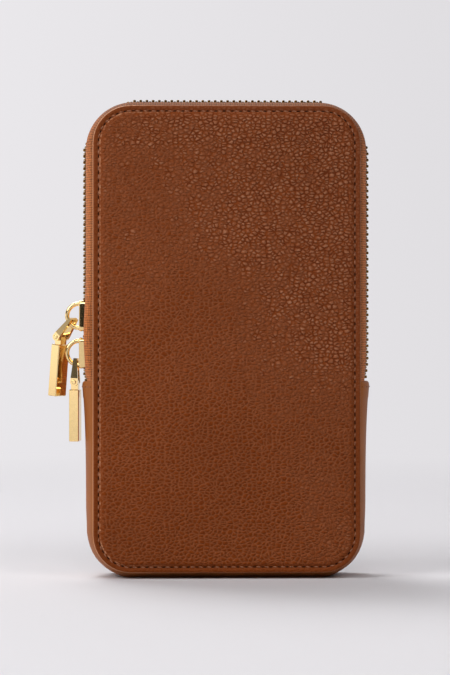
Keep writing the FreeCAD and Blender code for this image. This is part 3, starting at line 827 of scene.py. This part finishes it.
def chain_offset(sizes, place, outward):
    """How far outside the panel's outline the middle of the chain lies."""
    bend_x, bend_height = chain_bends(sizes)
    if place.z <= bend_height:
        return sizes.chain_side_bow
    if abs(place.x) <= bend_x:
        return sizes.chain_top_bow
    back = place - Vector((math.copysign(bend_x, place.x), 0.0, bend_height))
    along = back.dot(outward)
    return math.sqrt(along ** 2 - back.dot(back) + sizes.chain_radius ** 2) - along


def end_tuck(sizes, side, height):
    """How far the zip's end lies in, to go under the gusset. The left end is shorter, below its slider."""
    reach = sizes.tuck_run if side > 0 else sizes.tuck_run * LEFT_TUCK
    return sizes.end_tuck * (1 - smooth((height - FOLD_HEIGHT) / reach))


def tape_stations(sizes):
    """Stations of the tape from the left end, over the top, to the right end: base point, outward direction
    and length of tape so far."""
    half, low, high = corner_centres(sizes)
    radius = sizes.corner_radius
    start = FOLD_HEIGHT - TAPE_TAIL
    count = round((high - start) / TAPE_STEP)
    left = [(Vector((-HALF_WIDTH, 0.0, start + (high - start) * step / count)), Vector((-1.0, 0.0, 0.0)))
            for step in range(count)]
    turns = round(radius * math.pi / 2 / TAPE_STEP)
    for step in range(turns):
        angle = math.pi / 2 * step / turns
        outward = Vector((-math.cos(angle), 0.0, math.sin(angle)))
        left.append((Vector((-half, 0.0, high)) + outward * radius, outward))
    count = round(half / TAPE_STEP)
    left += [(Vector((-half + half * step / count, 0.0, PANEL_TOP)), Vector((0.0, 0.0, 1.0)))
             for step in range(count + 1)]
    stations = both_sides(left)
    steps = [(after[0] - before[0]).length for before, after in zip(stations, stations[1:])]
    return [(*station, run) for station, run in zip(stations, accumulate(steps, initial=0.0))]


def model_tape(sizes, side):
    """One half of the zip's tape: sewn under the panel's edge, rolled out to the lip that holds the teeth."""
    stations = tape_stations(sizes)
    bm = bmesh.new()
    weave = bm.loops.layers.uv.new("weave")
    grid = bmesh.ops.create_grid(bm, x_segments=len(stations) - 1, y_segments=TAPE_ACROSS, size=1.0)
    marks = {}
    for vert in grid["verts"]:
        place, outward, run = pick(stations, vert.co.x)
        share = (vert.co.y + 1) / 2
        aside = rows_parting(sizes, outward.x < 0, place.z)
        edge = sizes.tape_edge + aside * PARTED_EDGE
        lip = TAPE_LIP + aside
        crest = chain_offset(sizes, place, outward) + sizes.tape_thickness / 2
        crest -= end_tuck(sizes, outward.x, place.z)
        near = smooth(1 - abs(place.z - SLIDERS_MIDDLE) / SLACK_REACH) if outward.x < 0 else 0.0
        if share < FLANGE_SHARE:
            depth = SEAM_DEPTH
            offset = ROOT - TAPE_FLANGE * (1 - share / FLANGE_SHARE)
        else:
            over = (share - FLANGE_SHARE) / (1 - FLANGE_SHARE)
            depth = SEAM_DEPTH + (edge - SEAM_DEPTH) * over
            rise = min(1.0, (SEAM_DEPTH - depth) / (SEAM_DEPTH - lip))
            offset = ROOT + (crest - ROOT) * math.sin(rise * math.pi / 2)
            offset += sizes.tape_slack * near * math.sin(math.pi * over ** SLACK_SKEW) ** 2
        vert.co = place + outward * offset + Vector((0.0, side * depth, 0.0))
        marks[vert] = (run, share * WEAVE_WIDTH)
    for face in bm.faces:
        for loop in face.loops:
            loop[weave].uv = marks[loop.vert]
    face_towards(bm, Vector((1.0, 0.0, 0.0)))
    return bm


def chain_length(sizes):
    """Length of the chain's middle line."""
    bend_x, bend_height = chain_bends(sizes)
    return (bend_height - FOLD_HEIGHT - CHAIN_START) * 2 + sizes.chain_radius * math.pi + bend_x * 2


def chain_place(sizes, run):
    """Point, direction of run and outward direction on the chain's middle line, from its left end."""
    total = chain_length(sizes)
    if run > total / 2:
        place, along, outward = chain_place(sizes, total - run)
        return flip(place), -flip(along), flip(outward)
    bend_x, bend_height = chain_bends(sizes)
    radius = sizes.chain_radius
    start = FOLD_HEIGHT + CHAIN_START
    side_run = bend_height - start
    if run <= side_run:
        place, outward = Vector((-bend_x - radius, 0.0, start + run)), Vector((-1.0, 0.0, 0.0))
    elif run <= side_run + radius * math.pi / 2:
        angle = (run - side_run) / radius
        outward = Vector((-math.cos(angle), 0.0, math.sin(angle)))
        place = Vector((-bend_x, 0.0, bend_height)) + outward * radius
    else:
        place = Vector((run - side_run - radius * math.pi / 2 - bend_x, 0.0, bend_height + radius))
        outward = Vector((0.0, 0.0, 1.0))
    return place, Vector((outward.z, 0.0, -outward.x)), outward


def model_teeth(sizes, side):
    """One row of teeth, each a rounded clip on the tape's edge with a narrower head."""
    bm = bmesh.new()
    start = sizes.tooth_pitch / 2 if side > 0 else 0.0
    count = int((chain_length(sizes) - start) / sizes.tooth_pitch) + 1
    reach = sizes.tooth_reach + sizes.tooth_head
    across = Vector((0.0, side, 0.0))
    for number in range(count):
        place, along, outward = chain_place(sizes, start + sizes.tooth_pitch * number)
        aside = rows_parting(sizes, outward.x < -SIDEWAYS, place.z)
        middle = place + across * ((sizes.tooth_reach - sizes.tooth_head) / 2 + aside)
        middle -= outward * sizes.corner_dip * smooth(DIP_SPREAD * abs(outward.x * outward.z))
        if abs(outward.x) > SIDEWAYS:
            middle -= outward * end_tuck(sizes, outward.x, place.z)
        turn = Matrix((across * reach, outward * sizes.tooth_height, along * sizes.tooth_width)).transposed()
        cube = bmesh.ops.create_cube(bm, size=1.0)["verts"]
        for vert in cube:
            if vert.co.x < 0:
                vert.co.y *= TOOTH_TAPER
        bmesh.ops.transform(bm, matrix=Matrix.Translation(middle) @ turn.to_4x4(), verts=cube)
    bmesh.ops.bevel(bm, geom=bm.edges[:], offset=TOOTH_ROUNDING, affect="EDGES", segments=1, profile=0.5,
                    material=-1)
    bmesh.ops.recalc_face_normals(bm, faces=bm.faces[:])
    return bm


# stage

def lay_floor(colours):
    """A pale paper sweep: flat floor, a wide bend and an upright back."""
    bm = bmesh.new()
    grid = bmesh.ops.create_grid(bm, x_segments=1, y_segments=FLOOR_STEPS, size=1.0)
    half_width, front, bend_start, radius, rise = 4.0, -3.0, 1.0, 0.6, 2.4
    flat = bend_start - front
    turn = radius * math.pi / 2
    for vert in grid["verts"]:
        run = (vert.co.y + 1) / 2 * (flat + turn + rise)
        if run <= flat:
            back, height = front + run, 0.0
        elif run <= flat + turn:
            angle = (run - flat) / radius
            back, height = bend_start + radius * math.sin(angle), radius * (1 - math.cos(angle))
        else:
            back, height = bend_start + radius, radius + run - flat - turn
        vert.co = Vector((vert.co.x * half_width, back, height))
    bmesh.ops.recalc_face_normals(bm, faces=bm.faces[:])
    finish_piece("floor", bm, matt_paper(colours))


def light_stage(scene):
    """A large soft key lamp on the left, softer lamps in front, on the right and overhead, and a surround
    with two pale panels low on the left, dim elsewhere and plain where the camera sees it."""
    panel_strength, seen_strength = 1.55, 0.87
    scene.world = bpy.data.worlds.new("studio")
    scene.world.use_nodes = True
    tree = scene.world.node_tree
    add = partial(add_node, tree)
    way = add("SeparateXYZ", Vector=add("TexCoord").outputs["Generated"]).outputs
    band = add("MapRange", interpolation_type="SMOOTHSTEP", From_Min=0.1, From_Max=0.24, To_Min=1.0,
               To_Max=0.06, Value=way["Z"])
    leftward = add("Math", way["X"], -1.0, operation="MULTIPLY")
    panels = add("ValToRGB", Fac=leftward, stops=[
        (0.08, 0.08), (0.15, 1.0), (0.36, 1.0), (0.44, 0.08), (0.78, 0.08), (0.86, 1.0), (1.0, 1.0)])
    side = add("Math", panels, panel_strength, operation="MULTIPLY")
    lit = add("Math", band, side, operation="MULTIPLY")
    seen = add("LightPath").outputs["Is Camera Ray"]
    strength = add("Mix", seen, lit, seen_strength, data_type="FLOAT")
    fill_node(tree.nodes["Background"], Color=shade(linear("#f4f2f5")), Strength=strength)
    aim = Vector((0.0, 0.0, 0.09))
    for name, place, size, power in (
            ("key", (-1.5, -1.1, 1.45), 1.3, 30.0), ("front", (-0.1, -1.5, 1.3), 0.9, 9.5),
            ("right", (1.0, -1.2, 1.3), 0.8, 7.5), ("top", (-0.4, 0.6, 1.3), 0.7, 13.0)):
        lamp = bpy.data.lights.new(name, "AREA")
        lamp.size = size
        lamp.energy = power
        holder = bpy.data.objects.new(name, lamp)
        holder.location = place
        holder.rotation_euler = (aim - Vector(place)).to_track_quat("-Z", "Y").to_euler()
        scene.collection.objects.link(holder)


def set_camera(scene):
    """A level camera at the height of the pouch's middle, a little to its left."""
    frame_height = 257.8 * MM
    distance = 0.95
    yaw = math.radians(1.6)
    aim = Vector((-0.75 * MM, -FACE_DEPTH, 92.4 * MM))
    lens = bpy.data.cameras.new("camera")
    lens.sensor_fit = "VERTICAL"
    lens.sensor_height = 36.0
    lens.lens = lens.sensor_height * distance / frame_height
    lens.clip_start = 0.01
    holder = bpy.data.objects.new("camera", lens)
    holder.location = aim + Vector((-math.sin(yaw), -math.cos(yaw), 0.0)) * distance
    holder.rotation_euler = (math.pi / 2, 0.0, -yaw)
    scene.collection.objects.link(holder)
    scene.camera = holder


# operators

class PouchOperator:
    """Shared parts of the pouch's operators."""

    bl_options = {"REGISTER", "UNDO"}


class POUCH_OT_panels(PouchOperator, bpy.types.Operator):
    """Model the pebbled leather panels"""

    bl_idname = "pouch.panels"
    bl_label = "Leather panels"

    def execute(self, context):
        sizes = context.scene.pouch_sizes
        leather = pebbled_leather(context.scene.pouch_colours)
        for side in (-1, 1):
            piece = finish_piece(side_name(side) + "_leather", model_panel(sizes, side), leather)
            hang(piece, side)
            if side < 0:
                layers = [f"front_{layer}_{half}" for layer in ("panel", "padding", "board")
                          for half in ("upper", "lower")]
            else:
                layers = ["back_panel", "back_padding", "back_board"]
            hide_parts(*layers)
        return {"FINISHED"}


class POUCH_OT_stitching(PouchOperator, bpy.types.Operator):
    """Model the stitches of the panels and of the gusset's ends, and the dark beads painted as shadow in
    their needle holes
    """

    bl_idname = "pouch.stitching"
    bl_label = "Stitching"

    def execute(self, context):
        sizes = context.scene.pouch_sizes
        thread = waxed_thread(context.scene.pouch_colours)
        hole_shadow_material = needle_hole_shadow(context.scene.pouch_colours)
        kinds = (("stitching", False, thread), ("needle_hole_shadows", True, hole_shadow_material))
        for side in (-1, 1):
            for word, holes, material in kinds:
                name = side_name(side) + "_" + word
                piece = finish_piece(name, model_stitches(sizes, side, holes), material)
                hang(piece, side)
        for word, holes, material in kinds:
            piece = finish_piece("hem_" + word, model_hem_stitches(sizes, holes), material)
            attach(piece, "pouch")
        return {"FINISHED"}


class POUCH_OT_gusset(PouchOperator, bpy.types.Operator):
    """Model the smooth leather gusset"""

    bl_idname = "pouch.gusset"
    bl_label = "Gusset"

    def execute(self, context):
        leather = smooth_leather(context.scene.pouch_colours)
        piece = finish_piece("gusset_leather", model_gusset(context.scene.pouch_sizes), leather)
        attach(piece, "pouch")
        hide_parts("lower_gusset")
        return {"FINISHED"}


class POUCH_OT_linings(PouchOperator, bpy.types.Operator):
    """Model the lining fabric of the panels and the gusset"""

    bl_idname = "pouch.linings"
    bl_label = "Linings"

    def execute(self, context):
        sizes = context.scene.pouch_sizes
        fabric = twill_lining(context.scene.pouch_colours)
        for side in (-1, 1):
            piece = finish_piece(side_name(side) + "_lining_fabric", model_lining(sizes, side), fabric)
            thicken(piece, sizes.lining_thickness)
            hang(piece, side)
            nodes = ["front_lining_upper", "front_lining_lower"] if side < 0 else ["back_lining"]
            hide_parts(*nodes)
        piece = finish_piece("gusset_lining_fabric", model_gusset_lining(sizes), fabric)
        thicken(piece, sizes.lining_thickness)
        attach(piece, "pouch")
        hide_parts("gusset_lining")
        return {"FINISHED"}


class POUCH_OT_zip(PouchOperator, bpy.types.Operator):
    """Model the zip's tapes and teeth"""

    bl_idname = "pouch.zip"
    bl_label = "Zip"

    def execute(self, context):
        sizes = context.scene.pouch_sizes
        colours = context.scene.pouch_colours
        woven = woven_tape(colours)
        brass = polished_metal("brass_stamped_polished", colours.brass, 0.2)
        for side, word in ((-1, "front"), (1, "rear")):
            tape = finish_piece(word + "_tape", model_tape(sizes, side), woven)
            thicken(tape, sizes.tape_thickness)
            hang(tape, side)
            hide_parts(word + "_zip_tape")
            teeth = finish_piece(word + "_teeth", model_teeth(sizes, side), brass)
            teeth.data.set_sharp_from_angle(angle=SHARP_ANGLE)
            hang(teeth, side)
            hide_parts(word + "_zip_teeth")
        return {"FINISHED"}


class POUCH_OT_hardware(PouchOperator, bpy.types.Operator):
    """Finish the sliders, stirrups, pins and bars in polished gold plate"""

    bl_idname = "pouch.hardware"
    bl_label = "Sliders and pulls"

    def execute(self, context):
        gold = polished_metal("zinc_gold_plated_polished", context.scene.pouch_colours.gold, 0.12)
        for level in ("upper", "lower"):
            for part in ("slider", "pull_stirrup", "pull_pin", "pull_bar"):
                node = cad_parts[level + "_" + part]
                if not node.material_slots:
                    node.data.materials.append(None)
                for slot in node.material_slots:
                    slot.material = gold
        return {"FINISHED"}


class POUCH_OT_stage(PouchOperator, bpy.types.Operator):
    """Set the floor, the lights and the camera"""

    bl_idname = "pouch.stage"
    bl_label = "Stage"

    def execute(self, context):
        scene = context.scene
        scene.view_settings.view_transform = "Standard"
        lay_floor(scene.pouch_colours)
        light_stage(scene)
        set_camera(scene)
        return {"FINISHED"}


class POUCH_PT_sidebar(bpy.types.Panel):
    """Lists the pouch's pieces and its values"""

    bl_idname = "POUCH_PT_sidebar"
    bl_label = "Phone pouch"
    bl_space_type = "VIEW_3D"
    bl_region_type = "UI"
    bl_category = "Pouch"

    def draw(self, context):
        for operator in OPERATORS:
            self.layout.operator(operator.bl_idname)
        for group in (context.scene.pouch_sizes, context.scene.pouch_colours):
            for name in group.bl_rna.properties.keys():
                if name not in ("rna_type", "name"):
                    self.layout.prop(group, name)


OPERATORS = (POUCH_OT_panels, POUCH_OT_gusset, POUCH_OT_stitching, POUCH_OT_linings, POUCH_OT_zip,
             POUCH_OT_hardware, POUCH_OT_stage)
CLASSES = (PouchSizes, PouchColours) + OPERATORS + (POUCH_PT_sidebar,)


def register():
    """Register the classes and the scene's values."""
    for entry in CLASSES:
        bpy.utils.register_class(entry)
    bpy.types.Scene.pouch_sizes = PointerProperty(type=PouchSizes)
    bpy.types.Scene.pouch_colours = PointerProperty(type=PouchColours)


def unregister():
    """Take the scene's values and the classes away."""
    del bpy.types.Scene.pouch_colours
    del bpy.types.Scene.pouch_sizes
    for entry in reversed(CLASSES):
        bpy.utils.unregister_class(entry)


def main():
    """Model every piece in order."""
    register()
    bpy.ops.pouch.panels()
    bpy.ops.pouch.gusset()
    bpy.ops.pouch.stitching()
    bpy.ops.pouch.linings()
    bpy.ops.pouch.zip()
    bpy.ops.pouch.hardware()
    bpy.ops.pouch.stage()


if __name__ == "__main__":
    main()
